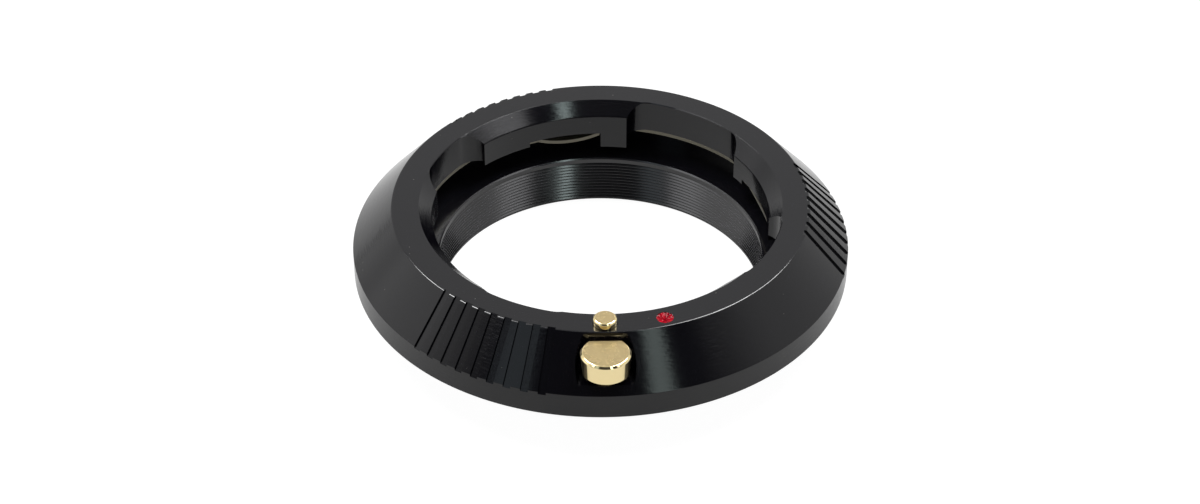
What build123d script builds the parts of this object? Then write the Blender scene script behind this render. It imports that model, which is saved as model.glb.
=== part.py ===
"""Lens mount adapter: a turned ring that takes a bayonet lens in front and fits a camera's bayonet behind.

The axis of the ring is Z and the lens side is up. Z = 0 is the rear end of the throat tube, on which the part stands.
Bearings are degrees about the axis, counted from the release button, on the -Y side, towards +X.
Depths are counted downwards from the flange face, which the lens sits on. All sizes are in millimetres."""
import os
from math import acos, cos, degrees, hypot, radians, sin, sqrt

from build123d import *

os.makedirs("parts", exist_ok=True)

# Heights of the ring: rear bayonet, the step from its seat up to the rim, rim and cone, one above the other
rear_projection = 4.8
rear_seat_step = 0.6
rim_height = 3.3
cone_height = 5.5

# Radii of the ring, from the throat outwards
throat_radius = 20.0
claw_radius = 20.6
lead_in = 1.6
slot_step = 0.1
flange_width = 3.2
cone_width = 4.96
edge_break = 0.1
rim_edge_break = 0.25

# Lens bayonet: each claw's low and high bearing, then the low and high bearing of the window over its leaf
claws = [
    (169.5, 224.5, 178.8, 205.0),
    (85.0, 124.0, 88.5, 119.0),
    (257.6, 316.0, 266.0, 297.0),
    (-8.0, 44.0, 12.0, 39.0),
]
claw_depth = 4.9
slot_mill_radius = 3.0
stop_clearance = 1.4

# Grip grooves on the cone
groove_groups = [-30.0, 90.0, 210.0]
groove_count = 9
groove_pitch = 4.0
groove_width = 0.95
groove_depth = 0.22
groove_overrun = 1.0

# Leaf spring ring and its screws
spring_seat_depth = 4.2
leaf_thickness = 0.45
leaf_bow = 0.95
leaf_reach = 0.3
leaf_flat_span = 0.8
leaf_tab_span = 2.4
leaf_end_gap = 0.4
spring_ring_width = 2.2
spring_ring_play = 0.1
spring_ring_gap = 9.0
spring_screw_turn = 2.5
spring_screw_radius = 0.5
spring_screw_bite = 2.0
spring_head_radius = 0.9
spring_head_height = 0.5

# Lock: pin, button, the bridge plate between them, and their travel
travel = 0.9
pin_radius = 1.4
pin_stand = 0.85
pin_edge = 0.12
pin_chamfer = 0.18
button_radius = 2.95
button_flat = 2.2
button_height = 2.5
button_chamfer = 0.25
button_press_gap = 0.28
stem_radius = 1.2
pocket_play = 0.55
pocket_wall = 0.25
pocket_back_gap = 0.22
pocket_floor = 1.7
lock_plate_thickness = 0.6
lock_plate_half_width = 2.2
lock_plate_overlap = 1.2
lock_plate_corner = 0.6
lock_cavity_play = 0.15
lock_drop_gap = 0.65
running_clearance = 0.04

# Screws of the lock, and the return springs
lock_screw_radius = 0.5
lock_screw_head = 0.95
lock_screw_bite = 1.4
return_spring_radius = 0.6
return_spring_wire = 0.1
return_spring_turns = 4.5
return_spring_offset = 1.25
spring_pocket_depth = 0.65
spring_pocket_play = 0.15

# Throat tube with its fine ring grooves, which have the right angle of the tool that cuts them
tube_wall = 0.9
tube_flange = 0.7
throat_chamfer = 0.15
throat_groove_count = 12
throat_groove_pitch = 0.46
throat_groove_width = 0.4
throat_groove_start = 0.75

# Camera-side bayonet ring and its screws
rear_plate = 1.0
rear_rim_wall = 1.0
barrel_wall = 0.95
barrel_setback = 0.6
lug_height = 1.1
lug_thickness = 1.5
lug_gap = 1.9
lug_bearings = [10.0, 130.0, 250.0]
lug_span = 56.0
lug_chamfer = 0.2
camera_lock_bearing = 100.0
camera_lock_radius = 1.1
camera_lock_margin = 3.4
seat_relief_depth = 0.2
seat_relief_margin = 0.4
rear_screw_bearings = [45.0, 135.0, 225.0, 315.0]
rear_screw_radius = 0.75
rear_screw_head = 1.45
rear_screw_bite = 1.6
rear_screw_margin = 2.3
seat_clearance = 0.05
screw_clearance = 0.05
tap_depth = 0.4
screw_slot_width = 0.3
screw_slot_depth = 0.3

# Index dot of red enamel
dot_bearing = 16.8
dot_radius = 1.0
dot_depth = 0.55
dot_edge_depth = 0.06
dot_dish = 0.26

# Heights and depths that follow from the sizes above
rear_seat = rear_projection
rim_bottom = rear_seat + rear_seat_step
rim_top = rim_bottom + rim_height
flange_height = rim_top + cone_height
recess_top = rear_seat + rear_plate + tube_flange
plate_floor = rear_seat + rear_plate
lock_plate_bottom = plate_floor + lock_drop_gap + travel
lock_plate_top = lock_plate_bottom + lock_plate_thickness
pocket_floor_height = lock_plate_top + pocket_floor
button_bottom = pocket_floor_height + button_press_gap + travel
spring_foot = plate_floor - spring_pocket_depth
spring_seat = flange_height - spring_seat_depth
claw_underside = flange_height - claw_depth
stop_underside = recess_top + stop_clearance
leaf_underside = spring_seat - leaf_thickness

# Radii and reaches that follow from the sizes above
slot_radius = claw_radius + lead_in + slot_step
slot_mill_reach = slot_radius - slot_mill_radius
slot_mill_turn = degrees(acos(
    (slot_mill_reach ** 2 + claw_radius ** 2 - slot_mill_radius ** 2) / (2 * slot_mill_reach * claw_radius)))
flange_radius = slot_radius + flange_width
rim_radius = flange_radius + cone_width
spring_ring_radius = slot_radius + spring_ring_width
bore_radius = spring_ring_radius + spring_ring_play
heel_radius = slot_radius - 1.5 * spring_ring_play
tube_radius = throat_radius + tube_wall
barrel_bore = tube_radius + seat_clearance
barrel_radius = barrel_bore + barrel_wall
lug_radius = barrel_radius + lug_height
seat_relief_radius = lug_radius + seat_relief_margin
recess_radius = rim_radius - rear_rim_wall
rear_ring_radius = recess_radius - seat_clearance
rear_screw_reach = rear_ring_radius - rear_screw_margin
camera_lock_reach = rear_ring_radius - camera_lock_margin
spring_screw_reach = (slot_radius + spring_ring_radius) / 2
spring_screw_bearings = [leaf_high + spring_screw_turn for _, _, _, leaf_high in claws]
pin_reach = flange_radius - edge_break - pin_edge - pin_radius
pin_hole = pin_radius + running_clearance
pocket_wall_reach = pin_reach + pin_hole + pocket_wall
button_reach = pocket_wall_reach + pocket_back_gap + button_flat
pocket_radius = button_radius + pocket_play
stem_hole = stem_radius + running_clearance
lock_plate_inner = pin_reach - lock_plate_overlap
lock_plate_outer = button_reach + lock_plate_overlap
lock_cavity_half_width = lock_plate_half_width + lock_cavity_play
lock_cavity_outer = lock_plate_outer + lock_cavity_play
return_spring_reach = (pin_reach + button_reach) / 2
spring_pocket_radius = return_spring_radius + return_spring_wire + spring_pocket_play
dot_reach = slot_radius + flange_width / 2 + edge_break


def around(reach, bearing, height):
    """The point at that distance from the axis, at that bearing and height."""
    turn = radians(bearing)
    return (reach * sin(turn), -reach * cos(turn), height)


def radial_plane(bearing):
    """The upright half plane at that bearing: its x runs outwards from the axis and its y runs up."""
    turn = radians(bearing)
    return Plane(origin=(0, 0, 0), x_dir=(sin(turn), -cos(turn), 0), z_dir=(-cos(turn), -sin(turn), 0))


def tangent_plane(reach, bearing):
    """The upright plane that faces outwards at that reach: its x runs along rising bearings and its y runs up."""
    turn = radians(bearing)
    return Plane(origin=around(reach, bearing, 0), x_dir=(cos(turn), sin(turn), 0), z_dir=(sin(turn), -cos(turn), 0))


def cone_plane(bearing):
    """The plane that touches the cone along its slope at that bearing: its y runs along the slope."""
    turn = radians(bearing)
    slope = hypot(cone_width, cone_height)
    outwards = cone_height / slope
    middle = around(flange_radius + cone_width / 2, bearing, flange_height - cone_height / 2)
    normal = (outwards * sin(turn), -outwards * cos(turn), cone_width / slope)
    return Plane(origin=middle, x_dir=(cos(turn), sin(turn), 0), z_dir=normal)


def facing_down(reach, bearing, height):
    """The place for a hole or a head that opens downwards."""
    return Plane(origin=around(reach, bearing, height), z_dir=(0, 0, -1))


def sector(low, high, inner, outer, bottom, top):
    """Adds a ring sector of rectangular section to the part in hand."""
    with BuildSketch(radial_plane(low)) as section:
        with Locations((inner, bottom)):
            Rectangle(outer - inner, top - bottom, align=Align.MIN)
    revolve(section.sketch, axis=Axis.Z, revolution_arc=high - low)


def countersunk_screw(head_radius, radius, length):
    """Adds a countersunk screw with a slot, its head's face at the place in hand and its shank below it."""
    head_height = head_radius - radius
    Cone(radius, head_radius, head_height, align=(Align.CENTER, Align.CENTER, Align.MAX))
    with Locations((0, 0, -head_height)):
        Cylinder(radius, length - head_height, align=(Align.CENTER, Align.CENTER, Align.MAX))
    Box(2 * head_radius, screw_slot_width, screw_slot_depth, align=(Align.CENTER, Align.CENTER, Align.MAX),
        mode=Mode.SUBTRACT)


# Adapter body: flange, cone and rim turned from one bar, then milled
claw_ends = sorted((low, high) for low, high, _, _ in claws)
slots = [(high, low) for (_, high), (low, _) in zip(claw_ends, claw_ends[1:])]
slots.append((claw_ends[-1][1], claw_ends[0][0] + 360))
slope_length = hypot(cone_width, cone_height)
break_out = edge_break * cone_width / slope_length
break_down = edge_break * cone_height / slope_length
with BuildPart() as adapter_body:
    with BuildSketch(Plane.XZ) as turned_section:
        with BuildLine():
            Polyline(
                (claw_radius, spring_seat),
                (claw_radius, flange_height - lead_in),
                (claw_radius + lead_in, flange_height),
                (flange_radius - edge_break, flange_height),
                (flange_radius + break_out, flange_height - break_down),
                (rim_radius, rim_top),
                (rim_radius, rim_bottom + rim_edge_break),
                (rim_radius - rim_edge_break, rim_bottom),
                (recess_radius, rim_bottom),
                (recess_radius, recess_top),
                (bore_radius, recess_top),
                (bore_radius, spring_seat),
                close=True,
            )
        make_face()
    revolve(axis=Axis.Z)

    # Slots between the claws, whose ends have the radius of the milling cutter
    with BuildSketch(Plane.XY.offset(claw_underside)):
        for low, high in slots:
            with BuildLine():
                wall = CenterArc((0, 0), slot_radius, low + slot_mill_turn - 90, high - low - 2 * slot_mill_turn)
                run_in = TangentArc(wall @ 0, around(claw_radius, low, 0)[:2], tangent=(wall % 0) * -1)
                run_out = TangentArc(wall @ 1, around(claw_radius, high, 0)[:2], tangent=wall % 1)
                Polyline(run_in @ 1, (0, 0), run_out @ 1)
            make_face()
    extrude(amount=flange_height - claw_underside + edge_break, mode=Mode.SUBTRACT)

    # Heels of the claws, beside the windows over the leaves
    for low, high, leaf_low, leaf_high in claws:
        sector(low, leaf_low, claw_radius, heel_radius, claw_underside, spring_seat)
        sector(leaf_high, high, claw_radius, heel_radius, claw_underside, spring_seat)

    # Stop block under the first claw, where the lens's turn ends
    stop_low, _, stop_high, _ = claws[0]
    sector(stop_low, stop_high, claw_radius, heel_radius, stop_underside, claw_underside)

    # Grip grooves, milled down the slope of the cone and out through both its edges
    groove_places = [
        cone_plane(group + (index - (groove_count - 1) / 2) * groove_pitch)
        for group in groove_groups
        for index in range(groove_count)
    ]
    with BuildSketch(*groove_places):
        Rectangle(groove_width, slope_length + 2 * groove_overrun)
    extrude(amount=-groove_depth, mode=Mode.SUBTRACT)

    # Pocket for the button, with a straight back wall
    with BuildSketch(Plane.XY.offset(pocket_floor_height)):
        with Locations((0, -button_reach)):
            Circle(pocket_radius)
        with Locations((0, -pocket_wall_reach)):
            Rectangle(2 * pocket_radius, 2 * pocket_radius, align=(Align.CENTER, Align.MIN), mode=Mode.SUBTRACT)
    extrude(amount=flange_height - pocket_floor_height, mode=Mode.SUBTRACT)

    # Holes for the pin and the button's stem, and the cavity for the bridge plate
    with Locations(around(pin_reach, 0, flange_height)):
        Hole(pin_hole, depth=flange_height - lock_plate_top)
    with Locations(around(button_reach, 0, pocket_floor_height)):
        Hole(stem_hole, depth=pocket_floor)
    with BuildSketch(Plane.XY.offset(recess_top)):
        with Locations((0, -lock_cavity_outer)):
            Rectangle(2 * lock_cavity_half_width, lock_cavity_outer - pin_reach, align=(Align.CENTER, Align.MIN))
    extrude(amount=lock_plate_top - recess_top, mode=Mode.SUBTRACT)

    # Dimple for the index dot, and the tapped holes
    with Locations(around(dot_reach, dot_bearing, flange_height)):
        Hole(dot_radius, depth=dot_depth)
    with Locations([facing_down(spring_screw_reach, bearing, spring_seat) for bearing in spring_screw_bearings]):
        Hole(spring_screw_radius + screw_clearance, depth=spring_screw_bite + tap_depth)
    with Locations([facing_down(rear_screw_reach, bearing, recess_top) for bearing in rear_screw_bearings]):
        Hole(rear_screw_radius + screw_clearance, depth=rear_screw_bite + tap_depth)

# Leaf spring ring: blanked from one sheet, with a bowed leaf under each claw
leaf_inner = claw_radius + leaf_reach
leaf_outer = slot_radius - spring_ring_play
strip_start = claw_radius - lead_in
trim_bottom = leaf_underside - 2 * leaf_bow
trim_height = spring_seat - trim_bottom + leaf_thickness
tab_width = leaf_inner * radians(leaf_tab_span)
tab_bearings = [leaf_high - leaf_end_gap - leaf_tab_span / 2 for _, _, _, leaf_high in claws]
tab_middle = (strip_start + slot_radius + spring_ring_play) / 2
tab_places = [Location(around(tab_middle, bearing, 0), (0, 0, bearing)) for bearing in tab_bearings]
ring_gap_width = 2 * spring_ring_radius * sin(radians(spring_ring_gap))
with BuildPart() as leaf_spring_ring:
    for _, _, leaf_low, leaf_high in claws:
        tip = leaf_low + leaf_end_gap
        bend = leaf_high - leaf_end_gap - leaf_tab_span - leaf_flat_span
        half_chord = leaf_inner * sin(radians(bend - tip) / 2)
        tail = half_chord + leaf_inner * radians(leaf_flat_span) + tab_width / 2
        with BuildSketch(tangent_plane(strip_start, (tip + bend) / 2)):
            with BuildLine():
                Polyline((half_chord, leaf_underside), (tail, leaf_underside), (tail, spring_seat),
                         (half_chord, spring_seat))
                upper = ThreePointArc(
                    (half_chord, spring_seat), (0, spring_seat - leaf_bow), (-half_chord, spring_seat))
                Line(upper @ 1, (-half_chord, leaf_underside))
                ThreePointArc(
                    (-half_chord, leaf_underside), (0, leaf_underside - leaf_bow), (half_chord, leaf_underside))
            make_face()
        extrude(amount=slot_radius - strip_start)
    with BuildSketch(Plane.XY.offset(trim_bottom)):
        Circle(leaf_outer)
    extrude(amount=trim_height, mode=Mode.INTERSECT)

    # Flat ring with a tab at the root of each leaf, open at the lock pin, trimmed inside with its leaves
    with BuildSketch(Plane.XY.offset(leaf_underside)):
        Circle(spring_ring_radius)
        Circle(slot_radius, mode=Mode.SUBTRACT)
        with Locations(tab_places):
            Rectangle(tab_width, slot_radius + spring_ring_play - strip_start)
        with Locations((0, -slot_radius)):
            Rectangle(ring_gap_width, 4 * spring_ring_width, mode=Mode.SUBTRACT)
    extrude(amount=leaf_thickness)
    with BuildSketch(Plane.XY.offset(trim_bottom)):
        Circle(leaf_inner)
    extrude(amount=trim_height, mode=Mode.SUBTRACT)
    with Locations([around(spring_screw_reach, bearing, spring_seat) for bearing in spring_screw_bearings]):
        Hole(spring_screw_radius + screw_clearance, depth=leaf_thickness)

# Spring ring screws: small cheese heads, driven from behind
with BuildPart() as spring_ring_screws:
    for bearing in spring_screw_bearings:
        with Locations(facing_down(spring_screw_reach, bearing, leaf_underside)):
            Cylinder(spring_head_radius, spring_head_height, align=(Align.CENTER, Align.CENTER, Align.MIN))
            Cylinder(spring_screw_radius, spring_screw_bite + leaf_thickness,
                     align=(Align.CENTER, Align.CENTER, Align.MAX))
        with Locations(facing_down(spring_screw_reach, bearing, leaf_underside - spring_head_height)):
            Box(2 * spring_head_radius, screw_slot_width, screw_slot_depth,
                align=(Align.CENTER, Align.CENTER, Align.MAX), mode=Mode.SUBTRACT)

# Lock pin: a plain turned pin that stands out of the flange face
with BuildPart() as lock_pin:
    with Locations(around(pin_reach, 0, lock_plate_top)):
        Cylinder(pin_radius, flange_height + pin_stand - lock_plate_top,
                 align=(Align.CENTER, Align.CENTER, Align.MIN))
    chamfer(lock_pin.edges().group_by(Axis.Z)[-1], length=pin_chamfer)
    with Locations(facing_down(pin_reach, 0, lock_plate_top)):
        Hole(lock_screw_radius + screw_clearance, depth=lock_screw_bite + tap_depth)

# Release button: a D-shaped cap turned with its stem
with BuildPart() as release_button:
    with BuildSketch(Plane.XY.offset(button_bottom)):
        with Locations((0, -button_reach)):
            Circle(button_radius)
        with Locations((0, -button_reach + button_flat)):
            Rectangle(2 * button_radius, button_radius, align=(Align.CENTER, Align.MIN), mode=Mode.SUBTRACT)
    extrude(amount=button_height)
    chamfer(release_button.edges().group_by(Axis.Z)[-1], length=button_chamfer)
    with Locations(around(button_reach, 0, lock_plate_top)):
        Cylinder(stem_radius, button_bottom - lock_plate_top, align=(Align.CENTER, Align.CENTER, Align.MIN))
    with Locations(facing_down(button_reach, 0, lock_plate_top)):
        Hole(lock_screw_radius + screw_clearance, depth=lock_screw_bite + tap_depth)

# Lock plate: the bridge from stem to pin, with countersunk holes from below
lock_reaches = [pin_reach, button_reach]
with BuildPart() as lock_plate:
    with BuildSketch(Plane.XY.offset(lock_plate_bottom)):
        with Locations((0, -(lock_plate_inner + lock_plate_outer) / 2)):
            RectangleRounded(2 * lock_plate_half_width, lock_plate_outer - lock_plate_inner, lock_plate_corner)
    extrude(amount=lock_plate_thickness)
    with Locations([facing_down(reach, 0, lock_plate_bottom) for reach in lock_reaches]):
        CounterSinkHole(lock_screw_radius + screw_clearance, lock_screw_head + screw_clearance,
                        depth=lock_plate_thickness, counter_sink_angle=90)

# Lock screws: through the bridge into the pin and the stem
with BuildPart() as lock_screws:
    for reach in lock_reaches:
        with Locations(facing_down(reach, 0, lock_plate_bottom)):
            countersunk_screw(lock_screw_head, lock_screw_radius, lock_plate_thickness + lock_screw_bite)

# Return springs: two coils between the bridge and the blind holes of the rear ring
coil_height = lock_plate_bottom - spring_foot - 2 * return_spring_wire
with BuildPart() as return_springs:
    for side in (-1, 1):
        coil_foot = (side * return_spring_offset, -return_spring_reach, spring_foot + return_spring_wire)
        with BuildLine() as coil:
            Helix(coil_height / return_spring_turns, coil_height, return_spring_radius, center=coil_foot)
        with BuildSketch(Plane(origin=coil.line @ 0, z_dir=coil.line % 0)):
            Circle(return_spring_wire)
        sweep(path=coil.line, is_frenet=True)

# Throat tube: its flange is the floor under the claws, and its bore has fine ring grooves against stray light
with BuildPart() as throat_tube:
    with BuildSketch(Plane.XZ):
        with BuildLine():
            Polyline(
                (throat_radius, 0),
                (tube_radius, 0),
                (tube_radius, plate_floor),
                (rear_ring_radius, plate_floor),
                (rear_ring_radius, recess_top),
                (throat_radius + throat_chamfer, recess_top),
                (throat_radius, recess_top - throat_chamfer),
                close=True,
            )
        make_face()
        first_groove = recess_top - throat_chamfer - throat_groove_start
        with Locations([(throat_radius, first_groove - index * throat_groove_pitch)
                        for index in range(throat_groove_count)]):
            Rectangle(throat_groove_width / sqrt(2), throat_groove_width / sqrt(2), rotation=45, mode=Mode.SUBTRACT)
    revolve(axis=Axis.Z)
    with BuildSketch(Plane.XY.offset(plate_floor)):
        with Locations((0, -rear_ring_radius)):
            Rectangle(2 * lock_cavity_half_width, rear_ring_radius - lock_plate_inner + lock_cavity_play,
                      align=(Align.CENTER, Align.MIN))
    extrude(amount=tube_flange, mode=Mode.SUBTRACT)
    with Locations([around(rear_screw_reach, bearing, recess_top) for bearing in rear_screw_bearings]):
        Hole(rear_screw_radius + screw_clearance, depth=tube_flange)

# Rear mount ring: the camera-side bayonet, with its barrel, outward lugs and the seat plate, undercut at the barrel
with BuildPart() as rear_mount_ring:
    with BuildSketch(Plane.XZ):
        with BuildLine():
            Polyline(
                (barrel_bore, barrel_setback),
                (barrel_radius, barrel_setback),
                (barrel_radius, rear_seat + seat_relief_depth),
                (seat_relief_radius, rear_seat + seat_relief_depth),
                (seat_relief_radius, rear_seat),
                (rear_ring_radius, rear_seat),
                (rear_ring_radius, plate_floor),
                (barrel_bore, plate_floor),
                close=True,
            )
        make_face()
    revolve(axis=Axis.Z)
    lug_top = rear_seat - lug_gap
    for bearing in lug_bearings:
        with BuildSketch(radial_plane(bearing)):
            with BuildLine():
                Polyline(
                    (barrel_radius - barrel_wall / 2, lug_top - lug_thickness),
                    (lug_radius - lug_chamfer, lug_top - lug_thickness),
                    (lug_radius, lug_top - lug_thickness + lug_chamfer),
                    (lug_radius, lug_top - lug_chamfer),
                    (lug_radius - lug_chamfer, lug_top),
                    (barrel_radius - barrel_wall / 2, lug_top),
                    close=True,
                )
            make_face()
        revolve(axis=Axis.Z, revolution_arc=lug_span)
    with Locations([facing_down(rear_screw_reach, bearing, rear_seat) for bearing in rear_screw_bearings]):
        CounterSinkHole(rear_screw_radius + screw_clearance, rear_screw_head + screw_clearance,
                        depth=rear_plate, counter_sink_angle=90)
    with Locations(around(camera_lock_reach, camera_lock_bearing, plate_floor)):
        Hole(camera_lock_radius, depth=rear_plate)
    with Locations([(side * return_spring_offset, -return_spring_reach, plate_floor) for side in (-1, 1)]):
        Hole(spring_pocket_radius, depth=spring_pocket_depth)

# Rear mount screws: through ring and tube into the body
with BuildPart() as rear_mount_screws:
    for bearing in rear_screw_bearings:
        with Locations(facing_down(rear_screw_reach, bearing, rear_seat)):
            countersunk_screw(rear_screw_head, rear_screw_radius, rear_plate + tube_flange + rear_screw_bite)

# Index dot: enamel in the dimple, its face a shallow dish
dot_x, dot_y, _ = around(dot_reach, dot_bearing, 0)
with BuildPart() as index_dot:
    with BuildSketch(Plane(origin=(dot_x, dot_y, 0), x_dir=(1, 0, 0), z_dir=(0, -1, 0))):
        with BuildLine():
            dish_edge = (dot_radius, flange_height - dot_edge_depth)
            dish_centre = (0, flange_height - dot_edge_depth - dot_dish)
            foot = flange_height - dot_depth
            dish = TangentArc(dish_centre, dish_edge, tangent=(1, 0))
            Polyline(dish @ 1, (dot_radius, foot), (0, foot), dish @ 0)
        make_face()
    revolve(axis=Axis((dot_x, dot_y, 0), (0, 0, 1)))

pieces = {
    "adapter_body": adapter_body,
    "leaf_spring_ring": leaf_spring_ring,
    "spring_ring_screws": spring_ring_screws,
    "lock_pin": lock_pin,
    "release_button": release_button,
    "lock_plate": lock_plate,
    "lock_screws": lock_screws,
    "return_springs": return_springs,
    "throat_tube": throat_tube,
    "rear_mount_ring": rear_mount_ring,
    "rear_mount_screws": rear_mount_screws,
    "index_dot": index_dot,
}
for name, piece in pieces.items():
    piece.part.label = name
    export_step(piece.part, f"parts/{name}.step")
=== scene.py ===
"""Lens mount adapter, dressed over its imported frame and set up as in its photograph.

Sizes are in millimetres. The axis of the ring is Z, the lens side is up, and bearings are degrees
about the axis, counted from the release button, on the -Y side, towards +X."""

import bmesh
import bpy
import numpy as np
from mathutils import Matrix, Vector


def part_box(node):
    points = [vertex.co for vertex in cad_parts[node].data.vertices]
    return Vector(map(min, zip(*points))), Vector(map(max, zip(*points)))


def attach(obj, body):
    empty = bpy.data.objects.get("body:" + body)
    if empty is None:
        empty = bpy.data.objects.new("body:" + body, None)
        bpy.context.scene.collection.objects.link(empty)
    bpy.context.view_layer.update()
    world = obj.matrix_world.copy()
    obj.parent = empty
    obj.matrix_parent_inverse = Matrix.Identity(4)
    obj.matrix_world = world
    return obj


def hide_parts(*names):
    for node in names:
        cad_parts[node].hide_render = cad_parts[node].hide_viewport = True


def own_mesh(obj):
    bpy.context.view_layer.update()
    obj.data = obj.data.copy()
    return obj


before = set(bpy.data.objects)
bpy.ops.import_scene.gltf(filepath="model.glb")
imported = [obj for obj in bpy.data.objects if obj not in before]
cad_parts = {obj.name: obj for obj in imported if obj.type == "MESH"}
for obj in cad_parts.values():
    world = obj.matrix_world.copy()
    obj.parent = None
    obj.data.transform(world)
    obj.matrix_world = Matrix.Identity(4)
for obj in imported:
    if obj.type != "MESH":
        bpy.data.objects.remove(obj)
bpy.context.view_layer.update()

# Adapter body: the main ring, turned from aluminium bar, milled, and anodised gloss black.
# The lens sits on its flat flange face and is held by four claws inside; the cone outside has
# three groups of milled grip grooves, and a pocket with a straight back wall for the button.
MM = 0.001
body_low, body_high = np.round(np.array(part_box("adapter_body")) / MM, 2)
rim_bottom, flange_height, rim_radius = body_low[2], body_high[2], body_high[0]
cone_width, cone_height = 4.96, 5.5
flange_width = 3.2
edge_break, rim_edge_break, claw_edge_break, lip_break = 0.1, 0.25, 0.06, 0.008
flange_radius = rim_radius - cone_width
rim_top = flange_height - cone_height
slot_radius = flange_radius - flange_width
lead_in, slot_step = 1.6, 0.1
claw_radius = slot_radius - lead_in - slot_step
slot_mill_radius = 3.0
spring_ring_width, spring_ring_play = 2.2, 0.1
bore_radius = slot_radius + spring_ring_width + spring_ring_play
heel_radius = slot_radius - 1.5 * spring_ring_play
rear_rim_wall, rear_seat_step = 1.0, 0.6
recess_radius = rim_radius - rear_rim_wall
rear_seat = rim_bottom - rear_seat_step
tube_flange, rear_plate = 0.7, 1.0
recess_top = rear_seat + rear_plate + tube_flange
spring_seat_depth, claw_depth, stop_clearance = 4.2, 4.9, 1.4
spring_seat = flange_height - spring_seat_depth
claw_underside = flange_height - claw_depth
stop_underside = recess_top + stop_clearance

# Each claw's low and high bearing, then the low and high bearing of the window over its leaf spring
claws = [
    (-8.0, 44.0, 12.0, 39.0),
    (85.0, 124.0, 88.5, 119.0),
    (169.5, 224.5, 178.8, 205.0),
    (257.6, 316.0, 266.0, 297.0),
]
stop_claw = 2
groove_groups, groove_count, groove_pitch = np.array([-30.0, 90.0, 210.0]), 9, 4.0
groove_width, groove_depth, groove_overrun, groove_cutter_rise = 0.95, 0.22, 1.5, 2.0

# Cutters reach this far past a face that they come out through, above the part or inside it
above, inside = 1.0, 0.3


def at_bearing(reach, bearing, height):
    """Reach, bearing and height as x, y, z: x is reach times the sine of the bearing, and y is minus
    reach times its cosine."""
    turn = np.radians(bearing)
    return np.stack(np.broadcast_arrays(reach * np.sin(turn), -reach * np.cos(turn), height), axis=-1)


def eased(before, corner, after, cut, steps=4, hold=2.0):
    """Rounds a corner of a path: a parabola that leaves one side and meets the other at the same
    distance, cut. A point on each side, at hold times that distance, keeps the flat sides' shading flat."""
    before, corner, after = np.array([before, corner, after], float)
    back = cut * (before - corner) / np.linalg.norm(before - corner)
    ahead = cut * (after - corner) / np.linalg.norm(after - corner)
    t = np.linspace(0, 1, steps + 1)[:, None]
    curve = (1 - t) ** 2 * back + t ** 2 * ahead
    return corner + np.vstack([hold * back, curve, hold * ahead])


def grid_quads(rows, columns, ring=False):
    """The quads between neighbouring rows and columns of a grid of points; in a ring the last column
    joins the first."""
    row = np.arange(rows - 1)[:, None] * columns
    column = np.arange(columns if ring else columns - 1)
    beside = (column + 1) % columns
    corners = [row + column, row + beside, row + columns + beside, row + columns + column]
    return np.stack(corners, -1).reshape(-1, 4)


def turned(path, bearings):
    """A path of reach and height points, carried round the axis through the bearings."""
    path = np.asarray(path)
    points = at_bearing(path[:, 0], np.asarray(bearings)[:, None], path[:, 1])
    return points.reshape(-1, 3), [grid_quads(len(bearings), len(path))]


def end_face(path, other, bearing):
    """The flat face at a bearing between two paths that start and end alike, less the points that both
    share."""
    path, other = np.asarray(path), np.asarray(other)
    shortest = min(len(path), len(other))
    alike = np.isclose(path[:shortest], other[:shortest]).all(1)
    alike_back = np.isclose(path[::-1][:shortest], other[::-1][:shortest]).all(1)
    first, last = np.cumprod(alike).sum(), np.cumprod(alike_back).sum()
    outline = np.concatenate([path[first - 1:len(path) - last + 1], other[first:len(other) - last][::-1]])
    return at_bearing(outline[:, 0], bearing, outline[:, 1]), [np.arange(len(outline))[None]]


def stepped_ring(common, arcs, turn_step=1.0, clearance=0.3):
    """A turned ring with steps: the common path goes right round, and each arc (low, high, path) carries
    its own path from the common path's end back to its start. Flat end faces close the steps between one
    arc and the next. The turn's even steps leave out those too near to an arc's end."""
    edges = np.array([low for low, _, _ in arcs] + [arcs[-1][1]])
    steps = np.arange(edges[0], edges[-1], turn_step)
    clear_of_edges = np.abs(steps[:, None] - edges).min(1) > clearance
    bearings = np.sort(np.concatenate([edges, steps[clear_of_edges]]))
    surfaces = [turned(common, bearings)]
    for (low, high, path), (_, _, path_before) in zip(arcs, [arcs[-1]] + arcs[:-1]):
        surfaces.append(turned(path, bearings[(bearings >= low) & (bearings <= high)]))
        surfaces.append(end_face(path, path_before, low))
    return surfaces


def stacked(outlines, heights):
    """Outlines of x, y points, as many in each, one above another: walls join neighbours, and flat faces
    close the ends."""
    outlines = np.asarray(outlines, float)
    levels, count, _ = outlines.shape
    level_heights = np.broadcast_to(np.reshape(heights, (-1, 1, 1)), (levels, count, 1))
    points = np.concatenate([outlines, level_heights], -1)
    first = np.arange(count)[None]
    return points.reshape(-1, 3), [grid_quads(levels, count, ring=True), first, first + (levels - 1) * count]


def d_rings(centre, rings, count=96):
    """A stack of D shapes: each ring (radius, flat, height) is a circle cut by a chord at the distance
    flat on its +Y side, which is a full circle where flat is the radius."""
    radius, flat, height = np.array(rings, float).T[:, :, None]
    start = np.arcsin(np.divide(flat, radius, out=np.ones_like(flat), where=radius > 0))
    turn = np.pi - start + np.linspace(0, 1, count) * (np.pi + 2 * start)
    outlines = np.stack([centre[0] + radius * np.cos(turn), centre[1] + radius * np.sin(turn)], -1)
    return stacked(outlines, height)


def round_rings(path):
    """Full circles from points of radius and height."""
    return [(radius, radius, height) for radius, height in path]


def bored(centres, path, count=48):
    """Cutters for like round holes at these centres, with a path of radius and height points."""
    return [d_rings(centre, round_rings(path), count) for centre in centres]


def drilled(reach, bearings, radius, bottom, top):
    """Cutters for plain round holes at these bearings."""
    return bored(at_bearing(reach, np.array(bearings), 0)[:, :2], [(radius, bottom), (radius, top)])


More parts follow.
